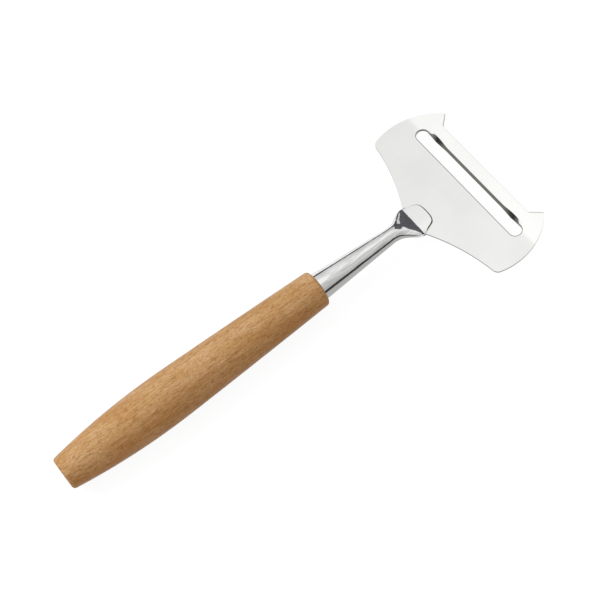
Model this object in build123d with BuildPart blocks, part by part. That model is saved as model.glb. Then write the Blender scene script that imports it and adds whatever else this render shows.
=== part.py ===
# A cheese slicer: a turned wooden handle, a tapered steel tube and a pressed blade.
#
# The origin is the centre of the handle's flat butt end. +X runs along the handle's axis to the
# blade, +Y is across the tool, and +Z is up, off the top face of the blade. All sizes are in mm.
from build123d import *
from math import radians, tan
import os

# The handle, turned from one piece of beech
handle_length = 126.3
belly_radius = 10.7
butt_radius = 7.15
front_radius = 8.05
end_rounding = 1.4
# In shares of the handle's length, its thickest place and where its crown ends, and the share of
# the fall from the belly to the front that lies before the crown's end
belly_share = 0.363
crown_share = 0.453
crown_fall_share = 0.065

# The bore that the tube is pressed into, with a drill point at its bottom
bore_gap = 0.05
bore_spare_depth = 1.5
drill_point_angle = 118

# The shank, a drawn tube with its front end pressed flat into a paddle
tube_radius = 5.95
tube_wall = 1.0
tail_length = 45
neck_length = 37.5
neck_radius = 3.4
neck_drop = 0.95
flare_length = 11.6
paddle_width = 15.4
paddle_reach = 7.6
# The rounding of the paddle's sheared rim, on a tip form that clears its crown
rim_rounding = 0.9
crown_clearance = 0.03

# The paddle's slit, which the blade's tang lies in
weld_gap = 0.02
tang_length = 6.5
tang_gap = 0.1
mouth_setback = 1.2

# The blade, pressed from one sheet. Its root is where it leaves the sides of the paddle, and
# reaches are measured forward from there.
blade_thickness = 1.0
blade_drop = 2.9
root_setback = 0.6
cheek_reach = 10.3
cheek_width = 80.4
cheek_rounding = 3.0
waist_hollow = 1.6
side_bulge = 5.2
ear_reach = 43.0
ear_width = 63.8
ear_rounding = 0.9
front_reach = 38.1
notch_width = 54.8
notch_rounding = 1.0

# The slot, with a lip along its front edge that is pressed down and sharpened
slot_reach = 28.8
slot_gap = 5.7
slot_span = 60.0
lip_width = 1.0
lip_setback = 0.35
lip_depth = 0.9
lip_edge = 0.2
ramp_width = 1.5
ramp_length = 6.0
front_tilt = 3
bend_radius = 110

# How far cuts run past the faces that they open
overrun = 5

# The stations of the tube's skin along X
handle_front = handle_length
neck_x = handle_front + neck_length
paddle_x = neck_x + flare_length
tip_x = paddle_x + paddle_reach
root_x = paddle_x + root_setback
blade_top = -blade_drop
blade_bottom = blade_top - blade_thickness
paddle_level = (blade_top + blade_bottom) / 2
paddle_half_height = blade_thickness / 2 + tube_wall
tang_half_width = neck_radius
tang_back = root_x - tang_length


# The reach of the handles that bend a quarter of a section, as a share of its corner: round at this
# share, and the nearer to 1 the squarer
round_share = 0.5523
# The flare from the round neck to the flat paddle: the share of its length, then how far the width,
# the top and the bottom have gone from the neck's to the paddle's, and the reach of the handles
flare_shares = [
    (0.00, 0.000, 0.000, 0.00, round_share),
    (0.10, 0.028, 0.016, 0.10, round_share),
    (0.25, 0.088, 0.090, 0.25, 0.555),
    (0.40, 0.260, 0.228, 0.36, 0.56),
    (0.50, 0.407, 0.310, 0.42, 0.57),
    (0.60, 0.605, 0.395, 0.47, 0.59),
    (0.75, 0.875, 0.586, 0.60, 0.70),
    (0.90, 1.023, 0.809, 0.85, 0.88),
    (1.00, 1.000, 1.000, 1.00, 0.99),
]
# The row of the table where the skin's two stretches meet
meeting_row = 4
# One half of the paddle's tip, in shares of its reach and of half its width
tip_shares = [(0, 1.02), (0.28, 0.92), (0.60, 0.80), (0.84, 0.67), (0.94, 0.50), (1, 0)]


# The handle's side profile, with the bore, turned about its axis
bore_radius = tube_radius + bore_gap
bore_bottom = handle_front - tail_length - bore_spare_depth
drill_point = bore_radius / tan(radians(drill_point_angle / 2))
with BuildPart() as handle:
    with BuildSketch(Plane.XZ) as profile:
        with BuildLine():
            belly = (belly_share * handle_length, belly_radius)
            crown_end = (
                crown_share * handle_length,
                belly_radius - crown_fall_share * (belly_radius - front_radius),
            )
            TangentArc(belly, (0, butt_radius), tangent=(-1, 0))
            crown = TangentArc(belly, crown_end, tangent=(1, 0))
            TangentArc(crown_end, (handle_front, front_radius), tangent=crown % 1)
            Polyline(
                (handle_front, front_radius),
                (handle_front, bore_radius),
                (bore_bottom, bore_radius),
                (bore_bottom - drill_point, 0),
                (0, 0),
                (0, butt_radius),
            )
        make_face()
        for rim in ((0, butt_radius), (handle_front, front_radius)):
            fillet(profile.vertices().sort_by_distance(rim)[0], radius=end_rounding)
    revolve(axis=Axis.X)
handle.part.label = "handle"

# The form that the paddle's tip is sheared to, with rounded rims
with BuildPart() as tip_form:
    with BuildSketch(Plane.XY.offset(paddle_level)):
        with BuildLine():
            tip_half = [
                (paddle_x + reach_share * paddle_reach, side_share * paddle_width / 2)
                for reach_share, side_share in tip_shares
            ]
            Spline(*tip_half, tangents=[(1, 0), (0, -1)])
            Polyline(tip_half[0], (paddle_x - overrun, tip_half[0][1]), (paddle_x - overrun, 0))
            mirror(about=Plane.XZ)
        make_face()
    extrude(amount=paddle_half_height + crown_clearance, both=True)
    for face in tip_form.faces().filter_by(Axis.Z):
        fillet(face.edges().sort_by(Axis.X)[1:], radius=rim_rounding)


def tube_section(x, level, half_width, half_height, reach_share=round_share):
    """A section across the tube, in four quarters that bend towards their corners."""
    ends = [(half_width, 0), (0, half_height), (-half_width, 0), (0, -half_height), (half_width, 0)]
    with BuildSketch(Plane(origin=(x, 0, level), x_dir=(0, 1, 0), z_dir=(1, 0, 0))) as section:
        with BuildLine():
            for first, last in zip(ends, ends[1:]):
                first_handle = (first[0] + reach_share * last[0], first[1] + reach_share * last[1])
                last_handle = (last[0] + reach_share * first[0], last[1] + reach_share * first[1])
                Bezier(first, first_handle, last_handle, last)
        make_face()
    return section.sketch


def flare_section(length_share, width_share, top_share, bottom_share, reach_share):
    """A section of the flare, between the heights of its top and bottom."""
    neck_top, neck_bottom = neck_radius - neck_drop, -neck_radius - neck_drop
    top = neck_top + top_share * (paddle_level + paddle_half_height - neck_top)
    bottom = neck_bottom + bottom_share * (paddle_level - paddle_half_height - neck_bottom)
    half_width = neck_radius + width_share * (paddle_width / 2 - neck_radius)
    x = neck_x + length_share * flare_length
    return tube_section(x, (top + bottom) / 2, half_width, (top - bottom) / 2, reach_share)


# The shank's skin: the flat paddle, the flare behind it, the straight taper and the tail
with BuildPart() as shank:
    flare = [flare_section(*row) for row in flare_shares]
    extrude(flare[-1], amount=paddle_reach + overrun)
    add(tip_form.part, mode=Mode.INTERSECT)
    loft(flare[: meeting_row + 1])
    loft(flare[meeting_row:])
    loft([tube_section(handle_front, 0, tube_radius, tube_radius), flare[0]], ruled=True)
    # The tail, inside the handle
    extrude(shank.faces().sort_by(Axis.X)[0], amount=tail_length)
    # The hollow of the tube narrows to the slit that the tang fills
    slit_half_height = blade_thickness / 2 + weld_gap
    pocket_back = tang_back - tang_gap
    inner_tube = tube_radius - tube_wall
    inner_neck = neck_radius - tube_wall
    with BuildSketch(Plane.YZ.offset(handle_front - tail_length)):
        Circle(inner_tube)
    with BuildSketch(Plane.YZ.offset(handle_front)):
        Circle(inner_tube)
    with BuildSketch(Plane(origin=(neck_x, 0, -neck_drop), x_dir=(0, 1, 0), z_dir=(1, 0, 0))):
        Circle(inner_neck)
    with BuildSketch(Plane(origin=(pocket_back, 0, paddle_level), x_dir=(0, 1, 0), z_dir=(1, 0, 0))):
        Ellipse(tang_half_width, blade_thickness / 2)
    loft(ruled=True, mode=Mode.SUBTRACT)
    # The slit: a pocket as wide as the tang, then open at both sides from the mouth to the tip
    with BuildSketch(Plane.XY.offset(paddle_level)):
        with BuildLine():
            mouth_x = root_x - mouth_setback - tang_gap
            pocket_half_width = tang_half_width + tang_gap
            open_half_width = paddle_width / 2 + overrun
            Polyline(
                (pocket_back, 0),
                (pocket_back, pocket_half_width),
                (mouth_x, pocket_half_width),
                (mouth_x, open_half_width),
                (tip_x + overrun, open_half_width),
                (tip_x + overrun, 0),
            )
            mirror(about=Plane.XZ)
        make_face()
    extrude(amount=slit_half_height, both=True, mode=Mode.SUBTRACT)
shank.part.label = "shank"


def plate_level(x):
    """The height of the plate's top face, which rises ahead of the middle of the slot."""
    return blade_top + max(0, x - slot_x) * tan(radians(front_tilt))


# The blade: its plan, then the gentle bend of its front, then the slot and the lip
slot_x = root_x + slot_reach
slot_front_x = slot_x + slot_gap / 2
slot_end = slot_span / 2
ramp_crease = slot_front_x + ramp_width
lip_crease = slot_front_x + lip_width
lip_tip = slot_front_x + lip_setback
# Half of the lip, from the slot's end to the middle: the place across the tool, the crease that the
# lip springs from, the place of its edge, and the share of its depth that it is pressed down
lip_half = [
    (slot_end, ramp_crease, slot_front_x, 0),
    (slot_end - ramp_length, ramp_crease, slot_front_x, 1),
    (slot_end - 2 * ramp_length, lip_crease, lip_tip, 1),
]
lip_stations = lip_half + [(-y, crease, tip, share) for y, crease, tip, share in reversed(lip_half)]
with BuildPart() as blade:
    with BuildSketch(Plane.XY.offset(blade_bottom - overrun)) as plan:
        with BuildLine():
            root = (root_x, paddle_width / 2)
            cheek = (root_x + cheek_reach, cheek_width / 2)
            ear = (root_x + ear_reach, ear_width / 2)
            notch = (root_x + front_reach, notch_width / 2)
            Polyline((tang_back, tang_half_width), (root_x - mouth_setback, tang_half_width), root)
            SagittaArc(root, cheek, -waist_hollow)
            SagittaArc(cheek, ear, side_bulge)
            Line(ear, notch)
            mirror(about=Plane.XZ)
            Line(notch, (notch[0], -notch[1]))
            Line((tang_back, tang_half_width), (tang_back, -tang_half_width))
        make_face()
        for corner, rounding in ((ear, ear_rounding), (notch, notch_rounding), (cheek, cheek_rounding)):
            for side in (1, -1):
                nearest = plan.vertices().sort_by_distance((corner[0], side * corner[1]))[0]
                fillet(nearest, radius=rounding)
    extrude(amount=blade_thickness + 2 * overrun)
    # The side view of the bent sheet
    with BuildSketch(Plane.XZ):
        with BuildLine():
            front_x = root_x + ear_reach + overrun
            back_x = tang_back - overrun
            top = FilletPolyline(
                (back_x, blade_top), (slot_x, blade_top), (front_x, plate_level(front_x)), radius=bend_radius
            )
            bottom = FilletPolyline(
                (back_x, blade_bottom),
                (slot_x, blade_bottom),
                (front_x, plate_level(front_x) - blade_thickness),
                radius=bend_radius,
            )
            Line(top @ 0, bottom @ 0)
            Line(top @ 1, bottom @ 1)
        make_face()
    extrude(amount=cheek_width + side_bulge, both=True, mode=Mode.INTERSECT)
    # The slot, and the strip ahead of it that is pressed into the lip
    with BuildSketch(Plane.XY.offset(paddle_level)):
        with Locations((slot_x, 0)):
            SlotCenterToCenter(slot_span, slot_gap, rotation=90)
        with BuildLine():
            creases = [(crease, y) for y, crease, tip, share in lip_stations]
            Polyline((slot_front_x, slot_end), *creases, (slot_front_x, -slot_end), close=True)
        make_face()
    extrude(amount=blade_thickness + overrun, both=True, mode=Mode.SUBTRACT)
    # The lip: level with the plate at both ends of the slot, and pressed down between
    for y, crease, tip, share in lip_stations:
        edge_bottom = plate_level(tip) - blade_thickness - share * lip_depth
        edge_top = edge_bottom + blade_thickness + share * (lip_edge - blade_thickness)
        with BuildSketch(Plane(origin=(0, y, 0), x_dir=(1, 0, 0), z_dir=(0, -1, 0))):
            with BuildLine():
                Polyline(
                    (crease, plate_level(crease)),
                    (tip, edge_top),
                    (tip, edge_bottom),
                    (crease, plate_level(crease) - blade_thickness),
                    close=True,
                )
            make_face()
    loft(ruled=True)
blade.part.label = "blade"

os.makedirs("parts", exist_ok=True)
export_step(handle.part, "parts/handle.step")
export_step(shank.part, "parts/shank.step")
export_step(blade.part, "parts/blade.step")
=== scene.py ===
"""The looks of a cheese slicer: turned beech, a mirror polished tube and a satin steel blade."""

import math

import bpy
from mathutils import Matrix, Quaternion, Vector


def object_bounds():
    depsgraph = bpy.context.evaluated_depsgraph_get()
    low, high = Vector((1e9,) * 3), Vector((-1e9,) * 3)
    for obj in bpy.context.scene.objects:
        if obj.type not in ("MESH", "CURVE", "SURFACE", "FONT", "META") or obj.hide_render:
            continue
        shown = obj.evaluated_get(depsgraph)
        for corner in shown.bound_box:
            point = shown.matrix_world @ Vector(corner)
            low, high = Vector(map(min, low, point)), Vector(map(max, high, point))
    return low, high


MM = 0.001
WHITE = (1, 1, 1, 1)

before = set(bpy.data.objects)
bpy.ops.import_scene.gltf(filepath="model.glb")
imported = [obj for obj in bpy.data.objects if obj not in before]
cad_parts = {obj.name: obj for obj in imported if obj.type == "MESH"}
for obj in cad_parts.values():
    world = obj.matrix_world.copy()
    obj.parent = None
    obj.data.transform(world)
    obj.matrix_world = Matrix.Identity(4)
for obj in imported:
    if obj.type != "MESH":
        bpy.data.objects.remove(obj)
cad_low, cad_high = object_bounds()


# Node helpers


def add(tree, kind, inputs=None, **settings):
    """A new node with its settings, and with each input linked to a socket or given a value."""
    node = tree.nodes.new(kind)
    for name, value in settings.items():
        setattr(node, name, value)
    for name, value in (inputs or {}).items():
        join(tree, node.inputs[name], value)
    return node


def join(tree, socket, value):
    """Links an input to another node's socket, or gives it a value."""
    if isinstance(value, bpy.types.NodeSocket):
        tree.links.new(value, socket)
    else:
        socket.default_value = value


def empty_material(name):
    material = bpy.data.materials.new(name)
    material.use_nodes = True
    material.node_tree.nodes.clear()
    return material, material.node_tree


def finish_material(tree, shader_inputs):
    shader = add(tree, "ShaderNodeBsdfPrincipled", shader_inputs)
    add(tree, "ShaderNodeOutputMaterial", {"Surface": shader.outputs[0]})


def millimetres(tree, scale=(1, 1, 1), shift=(0, 0, 0)):
    """The place on the object in millimetres, shifted and then scaled along each axis."""
    place = add(tree, "ShaderNodeTexCoord").outputs["Object"]
    sizes = {0: place, "Scale": 1 / MM}
    whole = add(tree, "ShaderNodeVectorMath", sizes, operation="SCALE").outputs[0]
    moved = add(tree, "ShaderNodeMapping", {"Vector": whole, "Location": shift}).outputs[0]
    return add(tree, "ShaderNodeVectorMath", {0: moved, 1: scale}, operation="MULTIPLY").outputs[0]


def axes(tree, vector):
    """The parts of a vector, by the names X, Y and Z."""
    return add(tree, "ShaderNodeSeparateXYZ", {0: vector}).outputs


def upward(tree):
    """How far a face looks up: 1 is straight up, 0 is level and -1 is down."""
    return axes(tree, add(tree, "ShaderNodeTexCoord").outputs["Normal"])["Z"]


def noise(tree, scale, shift=(0, 0, 0), detail=2.0, roughness=0.5, distortion=0.0):
    """Noise over the object, with its scale along X, Y and Z in cells to the millimetre."""
    inputs = {
        "Vector": millimetres(tree, scale, shift),
        "Scale": 1.0,
        "Detail": detail,
        "Roughness": roughness,
        "Distortion": distortion,
    }
    return add(tree, "ShaderNodeTexNoise", inputs).outputs["Fac"]


def spread(tree, value, low, high, out_low=0.0, out_high=1.0):
    """Eases low to high onto out_low to out_high, and clamps."""
    inputs = {
        "Value": value,
        "From Min": low,
        "From Max": high,
        "To Min": out_low,
        "To Max": out_high,
    }
    return add(tree, "ShaderNodeMapRange", inputs, interpolation_type="SMOOTHSTEP").outputs[0]


def maths(tree, operation, first, second=0.0):
    return add(tree, "ShaderNodeMath", {0: first, 1: second}, operation=operation).outputs[0]


def product(tree, first, *others):
    for other in others:
        first = maths(tree, "MULTIPLY", first, other)
    return first


def blend(tree, factor, first, second):
    """The first colour at a factor of 0, and the second at 1."""
    node = add(tree, "ShaderNodeMix", data_type="RGBA")
    colours = {"A": first, "B": second}
    for socket in node.inputs:
        if socket.type == "RGBA":
            join(tree, socket, colours[socket.name])
        elif socket.name == "Factor" and socket.type == "VALUE":
            join(tree, socket, factor)
    return next(socket for socket in node.outputs if socket.type == "RGBA")


# Beech. Scales are in cells to the millimetre, along the grain and twice across it

WOOD_LIGHT = (0.575, 0.34, 0.155, 1)
WOOD_MIDDLE = (0.47, 0.237, 0.075, 1)
WOOD_DARK = (0.26, 0.1, 0.02, 1)
CLOUD_SCALE, CLOUD_SHIFT = (0.05, 0.16, 0.16), (3, 1, 9)
FIBRE_SCALE, FIBRE_ROUGHNESS = (0.09, 1.1, 1.1), 0.65
FLECK_SCALE, FLECK_SHIFT, FLECK_DISTORTION = (0.33, 1.5, 1.5), (7, 3, 5), 0.4
PORE_SCALE = (0.8, 4.0, 4.0)
# How much the fibres and clouds weigh in the light wood, and the levels between which it comes in
FIBRE_WEIGHT, CLOUD_WEIGHT, LIGHT_LEVELS = 0.6, 0.6, (0.45, 0.75)
# The levels of the noise between which flecks and pores come in, and how dark they get
FLECK_LEVELS, FLECK_DEPTH = (0.5, 0.68), 0.5
PORE_LEVELS, PORE_DEPTH = (0.48, 0.64), 0.55
PORE_RELIEF, WOOD_BUMP, WOOD_RELIEF = 0.5, 0.4, 0.12 * MM
WOOD_NOISE_LEVELS, WOOD_ROUGHNESS = (0.3, 0.7), (0.42, 0.55)
WOOD_SPECULAR, LACQUER, LACQUER_ROUGHNESS = 0.2, 0.1, 0.3


def beech():
    """Turned beech: mottled, with fine fibres, short dark ray flecks along the grain, and thin lacquer."""
    material, tree = empty_material("beech")
    cloud = noise(tree, CLOUD_SCALE, CLOUD_SHIFT, detail=3)
    fibres = noise(tree, FIBRE_SCALE, detail=4, roughness=FIBRE_ROUGHNESS)
    flecks = noise(tree, FLECK_SCALE, FLECK_SHIFT, distortion=FLECK_DISTORTION)
    pores = noise(tree, PORE_SCALE)
    fibre_part = product(tree, fibres, FIBRE_WEIGHT)
    tone = maths(tree, "ADD", fibre_part, product(tree, cloud, CLOUD_WEIGHT))
    ground = blend(tree, spread(tree, tone, *LIGHT_LEVELS), WOOD_MIDDLE, WOOD_LIGHT)
    fleck_share = spread(tree, flecks, *FLECK_LEVELS, 0, FLECK_DEPTH)
    pore_share = spread(tree, pores, *PORE_LEVELS, 0, PORE_DEPTH)
    colour = blend(tree, pore_share, blend(tree, fleck_share, ground, WOOD_DARK), WOOD_DARK)
    relief = maths(tree, "SUBTRACT", fibre_part, product(tree, pores, PORE_RELIEF))
    bump_inputs = {"Strength": WOOD_BUMP, "Distance": WOOD_RELIEF, "Height": relief}
    finish_material(tree, {
        "Base Color": colour,
        "Roughness": spread(tree, fibres, *WOOD_NOISE_LEVELS, *WOOD_ROUGHNESS),
        "Normal": add(tree, "ShaderNodeBump", bump_inputs).outputs[0],
        "Specular IOR Level": WOOD_SPECULAR,
        "Coat Weight": LACQUER,
        "Coat Roughness": LACQUER_ROUGHNESS,
    })
    return material


# The shank. Its finish and its painted shade change between two places, in millimetres along the tool

TUBE_END, PADDLE_START = 170, 176
TUBE_COLOUR = (0.87, 0.87, 0.855, 1)
STREAK_COLOUR = (0.7, 0.7, 0.69, 1)
# Painted shade: the tube's underside is coloured darker, in place of the shaded table that it mirrors
PAINTED_UNDERSIDE_SHADE = (0.4, 0.4, 0.385, 1)
PADDLE_COLOUR = (0.86, 0.86, 0.85, 1)
# A painted dark reflection: a dark line low on the tube's flank
PAINTED_DARK_LINE = (0.05, 0.05, 0.048, 1)
STREAK_SCALE, STREAK_SHIFT, STREAK_LEVELS = (0.01, 1.3, 1.3), (0, 4, 2), (0.42, 0.56)
HAZE_SCALE, HAZE_LEVELS, TUBE_ROUGHNESS = (0.12, 0.2, 0.2), (0.3, 0.7), (0.04, 0.08)
# How far the faces look up where the painted dark reflection line on the flank ends at the top and at the
# bottom, below which the underside is painted darker as shade, and where the tube turns duller underneath
SHADE_TOP, SHADE_BOTTOM, DULL_LEVELS, DULL_ROUGHNESS = (0.6, 0.64), (0.43, 0.47), (0.56, 0.4), 0.14


def polished_steel():
    """The tube: mirror polished on top, a painted dark reflection as a line low on its flank, painted shade
    and duller below, and a bright paddle.
    """
    material, tree = empty_material("polished_steel")
    streaks = noise(tree, STREAK_SCALE, STREAK_SHIFT, detail=3)
    haze = noise(tree, HAZE_SCALE, detail=3)
    along = axes(tree, millimetres(tree))["X"]
    facing = upward(tree)
    top = blend(tree, spread(tree, streaks, *STREAK_LEVELS), STREAK_COLOUR, TUBE_COLOUR)
    # Painted shade: darker underneath, with a painted dark reflection line low on the flank
    painted_lower_shade = blend(tree, spread(tree, facing, *SHADE_BOTTOM), PAINTED_UNDERSIDE_SHADE, PAINTED_DARK_LINE)
    tube_with_painted_shade = blend(tree, spread(tree, facing, *SHADE_TOP), painted_lower_shade, top)
    dull = spread(tree, facing, *DULL_LEVELS, 0, DULL_ROUGHNESS)
    hazed = spread(tree, haze, *HAZE_LEVELS, *TUBE_ROUGHNESS)
    finish_material(tree, {
        "Base Color": blend(tree, spread(tree, along, TUBE_END, PADDLE_START), tube_with_painted_shade, PADDLE_COLOUR),
        "Metallic": 1.0,
        "Roughness": maths(tree, "ADD", hazed, dull),
    })
    return material


# The blade. Places and widths are in millimetres, along the tool or across it from its middle

FACE_DARK, FACE_LIGHT = (0.84, 0.838, 0.822, 1), (0.87, 0.868, 0.852, 1)
SHEARED_STEEL = (0.34, 0.335, 0.32, 1)
# The painted dark reflection on the lip
PAINTED_LIP_REFLECTION = (0.17, 0.165, 0.15, 1)
# The painted dark reflection along the slot's edge, along the strip's front edge and beside the ears
PAINTED_EDGE_LINE_COLOUR = (0.1, 0.1, 0.09, 1)
LINE_SCALE, LINE_WEIGHT, LINE_BUMP, LINE_RELIEF = (0.05, 5.0, 5.0), 0.3, 0.02, 0.05 * MM
PATCH_SCALE, PATCH_WEIGHT, FACE_LEVELS = (0.06, 0.06, 0.06), 0.7, (0.35, 0.65)
PATCH_LEVELS, FACE_ROUGHNESS, DULL_EDGE = (0.3, 0.7), (0.07, 0.1), 0.22
# How far the faces look up or down where the flat sheet ends and its sheared edges begin
SHEARED_LEVELS = (0.95, 0.8)
# The slot's middle along the tool, its half width, and the centres of its round ends across the tool
SLOT_MIDDLE, SLOT_RADIUS, SLOT_HALF = 204.8, 2.85, 30
# The painted dark line round the slot: its width from the slot's outline, and how dark it gets
EDGE_LINE_WIDTH, EDGE_LINE_DEPTH = 0.4, 0.8
# Where the lip starts along the tool, and its crease at the slot's middle, at the ramps and at the ends
LIP_BACK, LIP_CREASE, RAMP_CREASE, LIP_END = 207.4, 208.65, 209.15, 207.8
# Where the ramps begin, are full and end across the tool, and the lengths over which they fade
RAMP_START, RAMP_FULL, RAMP_END = 18, 24, 30
CREASE_FADE, LIP_FADE, LIP_SOFTNESS = 4, 2, 0.1
# The strip's front edge along the tool, the notch's corner across it, and the painted dark line along both
FRONT_EDGE, NOTCH_HALF = 214.1, 27.4
FRONT_LINE, FRONT_LINE_DEPTH = (0.35, 0.2), 0.15
EAR_SLANT_X, EAR_SLANT_Y = 0.677, 0.737
EAR_LINE, EAR_LINE_DEPTH = (0.5, 0.3), 0.5
LINE_SOFTNESS = 0.1


def painted_slot_edge_line(tree, along, across):
    """A painted dark reflection: a line round the slot's edge, by the distance from its outline."""
    beyond = maths(tree, "MAXIMUM", maths(tree, "SUBTRACT", across, SLOT_HALF), 0)
    offset = maths(tree, "SUBTRACT", along, SLOT_MIDDLE)
    squares = maths(tree, "ADD", product(tree, beyond, beyond), product(tree, offset, offset))
    outside = maths(tree, "SUBTRACT", maths(tree, "SQRT", squares), SLOT_RADIUS)
    return spread(tree, outside, EDGE_LINE_WIDTH, EDGE_LINE_WIDTH / 2, 0, EDGE_LINE_DEPTH)


def painted_lip_reflection(tree, along, across):
    """Where the lip is painted dark as a reflection: from the slot to its crease, wider at its two ramps
    and fading at the ends.
    """
    middle_crease = spread(tree, across, RAMP_START, RAMP_FULL, LIP_CREASE, RAMP_CREASE)
    end_crease = spread(tree, across, RAMP_END, RAMP_END - CREASE_FADE, LIP_END, RAMP_CREASE)
    ahead = maths(tree, "SUBTRACT", along, maths(tree, "MINIMUM", middle_crease, end_crease))
    return product(
        tree,
        spread(tree, along, LIP_BACK, LIP_BACK + LIP_SOFTNESS),
        spread(tree, ahead, LIP_SOFTNESS, -LIP_SOFTNESS),
        spread(tree, across, RAMP_END, RAMP_END - LIP_FADE),
    )


def painted_front_lines(tree, along, across):
    """The faint painted dark line along the strip's front edge, and the darker painted one beside each ear.
    """
    slant_x = product(tree, maths(tree, "SUBTRACT", along, FRONT_EDGE), EAR_SLANT_X)
    slant_y = product(tree, maths(tree, "SUBTRACT", across, NOTCH_HALF), EAR_SLANT_Y)
    inside = maths(tree, "SUBTRACT", slant_y, slant_x)
    ear_line = spread(tree, inside, *EAR_LINE, 0, EAR_LINE_DEPTH)
    beside_ear = spread(tree, along, FRONT_EDGE, FRONT_EDGE + LINE_SOFTNESS)
    line_starts = [FRONT_EDGE - back for back in FRONT_LINE]
    front_line = spread(tree, along, *line_starts, 0, FRONT_LINE_DEPTH)
    between_ears = spread(tree, across, NOTCH_HALF + LINE_SOFTNESS, NOTCH_HALF)
    ears = product(tree, ear_line, beside_ear)
    return maths(tree, "MAXIMUM", ears, product(tree, front_line, between_ears))


def blade_steel():
    """The sheet: fine satin lines along the tool, dull sheared edges, a painted dark reflection on the lip,
    and painted dark lines along its edges.
    """
    material, tree = empty_material("blade_steel")
    lines = noise(tree, LINE_SCALE, detail=3)
    patches = noise(tree, PATCH_SCALE, detail=3)
    place = axes(tree, millimetres(tree))
    along, across = place["X"], maths(tree, "ABSOLUTE", place["Y"])
    sheared = spread(tree, maths(tree, "ABSOLUTE", upward(tree)), *SHEARED_LEVELS)
    # The lip is painted dark as a reflection, and made duller
    lip = painted_lip_reflection(tree, along, across)
    # Painted dark reflection lines along the slot's edge, along the strip's front edge and beside the ears
    outline = maths(tree, "MAXIMUM", painted_slot_edge_line(tree, along, across), painted_front_lines(tree, along, across))
    tone = maths(tree, "ADD", product(tree, lines, LINE_WEIGHT), product(tree, patches, PATCH_WEIGHT))
    face = blend(tree, spread(tree, tone, *FACE_LEVELS), FACE_DARK, FACE_LIGHT)
    edged = blend(tree, outline, blend(tree, sheared, face, SHEARED_STEEL), PAINTED_EDGE_LINE_COLOUR)
    bump_inputs = {"Strength": LINE_BUMP, "Distance": LINE_RELIEF, "Height": lines}
    dull = product(tree, maths(tree, "MAXIMUM", sheared, lip), DULL_EDGE)
    satin = spread(tree, patches, *PATCH_LEVELS, *FACE_ROUGHNESS)
    finish_material(tree, {
        "Base Color": blend(tree, lip, edged, PAINTED_LIP_REFLECTION),
        "Metallic": 1.0,
        "Roughness": maths(tree, "ADD", satin, dull),
        "Normal": add(tree, "ShaderNodeBump", bump_inputs).outputs[0],
    })
    return material


def plain(name, colour):
    material, tree = empty_material(name)
    finish_material(tree, {"Base Color": colour, "Roughness": 1.0})
    return material


def dress(node_name, material):
    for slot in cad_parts[node_name].material_slots:
        slot.material = material


dress("handle", beech())
dress("shank", polished_steel())
dress("blade", blade_steel())


# The table, and the dark cards round it that the polished steel mirrors

FLOOR_HALF = 2.5
FLOOR_GLOW = 0.92
# What the table gives back to the tool as light, and how much of the tool's shadow is seen on it
TABLE_BOUNCE, TABLE_SHADOW = (0.46, 0.27, 0.1, 1), (0.12, 0.12, 0.12, 1)
CARD_RADIUS = 1.6
CARD_STEPS = 72
DARK_CARD, SLATE_CARD = (0.045, 0.045, 0.047, 1), (0.17, 0.183, 0.213, 1)
# The height of the cards in degrees above the horizon, at directions in degrees from +X to +Y
CARD_HEIGHTS = [
    (-75, 0),
    (-30, 34),
    (30, 43),
    (55, 18),
    (90, 13),
    (130, 20),
    (160, 30),
    (200, 24),
    (285, 0),
]
# Ahead of the tool and left of it, between these directions, the cards are slate
SLATE_START, SLATE_END = -15, 130

centre = (cad_low + cad_high) / 2


def mesh_object(name, points, faces, material):
    mesh = bpy.data.meshes.new(name)
    mesh.from_pydata(points, [], faces)
    mesh.materials.append(material)
    made = bpy.data.objects.new(name, mesh)
    bpy.context.scene.collection.objects.link(made)
    return made


def white_table():
    """A table that the camera and the steel see as white, with a faint shadow of the tool on it."""
    material, tree = empty_material("white_table")
    path = add(tree, "ShaderNodeLightPath").outputs
    mirrored = maths(tree, "ADD", path["Is Glossy Ray"], path["Is Transmission Ray"])
    seen = maths(tree, "ADD", path["Is Camera Ray"], mirrored)
    finish_material(tree, {
        "Base Color": blend(tree, seen, TABLE_BOUNCE, TABLE_SHADOW),
        "Roughness": 1.0,
        "Specular IOR Level": 0.0,
        "Emission Color": WHITE,
        "Emission Strength": product(tree, seen, FLOOR_GLOW),
    })
    return material


def build_floor():
    corners = [(-1, -1), (1, -1), (1, 1), (-1, 1)]
    points = [(centre.x + a * FLOOR_HALF, b * FLOOR_HALF, cad_low.z) for a, b in corners]
    mesh_object("floor", points, [(0, 1, 2, 3)], white_table())


def card_turn(step):
    """The direction of a step round the ring of cards, in degrees."""
    return CARD_HEIGHTS[0][0] + 360 * step / CARD_STEPS


def card_height(turn):
    """The height of the ring of cards in degrees, eased between the listed directions."""
    for (start, low), (end, high) in zip(CARD_HEIGHTS, CARD_HEIGHTS[1:]):
        if start <= turn <= end:
            way = (1 - math.cos(math.pi * (turn - start) / (end - start))) / 2
            return low + way * (high - low)


def build_cards():
    points = []
    faces = []
    for step in range(CARD_STEPS):
        turn = card_turn(step)
        height = CARD_RADIUS * math.tan(math.radians(card_height(turn)))
        x = centre.x + CARD_RADIUS * math.cos(math.radians(turn))
        y = CARD_RADIUS * math.sin(math.radians(turn))
        points += [(x, y, cad_low.z), (x, y, height)]
        a, b = 2 * step, 2 * ((step + 1) % CARD_STEPS)
        faces.append((a, b, b + 1, a + 1))
    cards = mesh_object("dark_cards", points, faces, plain("dark_card", DARK_CARD))
    cards.data.materials.append(plain("slate_card", SLATE_CARD))
    for step, face in enumerate(cards.data.polygons):
        face.material_index = 1 if SLATE_START <= card_turn(step) < SLATE_END else 0
    cards.visible_camera = False


build_floor()
build_cards()


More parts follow.
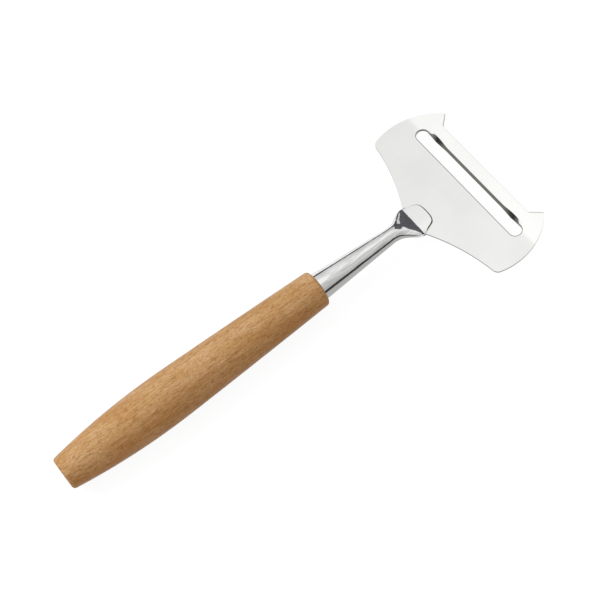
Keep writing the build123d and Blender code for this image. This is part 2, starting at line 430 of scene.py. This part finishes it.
# Light: a pale sky, dimmer low down, at the zenith and towards the camera, and brighter behind the tool,
# as a large panel would be. The backdrop that the camera sees above the table is white. One soft cool
# lamp, which the steel doesn't mirror.

# For each part of the sky: the axis of its direction, where it changes, and its level at both ends
SKY_PARTS = [
    ("Z", 0.35, 0.95, 0.68, 0.95),
    ("Y", -0.05, -0.4, 1.0, 0.76),
    ("Y", 0.41, 0.35, 1.0, 1.06),
    ("X", 0.262, 0.24, 1.0, 1.18),
    ("Z", 0.945, 0.98, 1.0, 0.75),
]

LAMP_DIRECTION = Vector((-0.5, 0.5, 0.7)).normalized()
LAMP_DISTANCE = 1.1
LAMP_SIZE = 0.6
LAMP_POWER = 7.8
LAMP_COLOUR = (0.9, 1.03, 1.28)


def build_sky():
    world = bpy.data.worlds.new("studio")
    bpy.context.scene.world = world
    world.use_nodes = True
    tree = world.node_tree
    tree.nodes.clear()
    direction = axes(tree, add(tree, "ShaderNodeTexCoord").outputs["Generated"])
    level = product(tree, *[spread(tree, direction[axis], *levels) for axis, *levels in SKY_PARTS])
    seen = add(tree, "ShaderNodeLightPath").outputs["Is Camera Ray"]
    inputs = {"Color": WHITE, "Strength": maths(tree, "MAXIMUM", level, seen)}
    background = add(tree, "ShaderNodeBackground", inputs)
    add(tree, "ShaderNodeOutputWorld", {"Surface": background.outputs[0]})


def build_lamp():
    data = bpy.data.lights.new("soft_lamp", "AREA")
    data.shape = "DISK"
    data.size = LAMP_SIZE
    data.energy = LAMP_POWER
    data.color = LAMP_COLOUR
    lamp = bpy.data.objects.new("soft_lamp", data)
    lamp.location = centre + LAMP_DIRECTION * LAMP_DISTANCE
    lamp.rotation_mode = "QUATERNION"
    lamp.rotation_quaternion = LAMP_DIRECTION.to_track_quat("Z", "Y")
    lamp.visible_glossy = False
    bpy.context.scene.collection.objects.link(lamp)


build_sky()
build_lamp()


# Camera: looks down on the tool from the side of its lower right edge. Place in millimetres, roll in
# degrees, lens and sensor in millimetres, and the nearest and furthest seen in metres.

CAMERA_PLACE = Vector((8.21, -251.23, 543.25)) * MM
CAMERA_AIM = Vector((0.17904, 0.41346, -0.89275))
CAMERA_ROLL = -15.08
CAMERA_LENS = 90
CAMERA_SENSOR = 36
CAMERA_NEAR, CAMERA_FAR = 0.01, 20


def build_camera():
    data = bpy.data.cameras.new("camera")
    data.lens = CAMERA_LENS
    data.sensor_width = CAMERA_SENSOR
    data.clip_start, data.clip_end = CAMERA_NEAR, CAMERA_FAR
    camera = bpy.data.objects.new("camera", data)
    camera.location = CAMERA_PLACE
    camera.rotation_mode = "QUATERNION"
    roll = Quaternion((0, 0, 1), math.radians(CAMERA_ROLL))
    camera.rotation_quaternion = CAMERA_AIM.to_track_quat("-Z", "Y") @ roll
    bpy.context.scene.collection.objects.link(camera)
    bpy.context.scene.camera = camera


build_camera()
bpy.context.scene.view_settings.view_transform = "Standard"
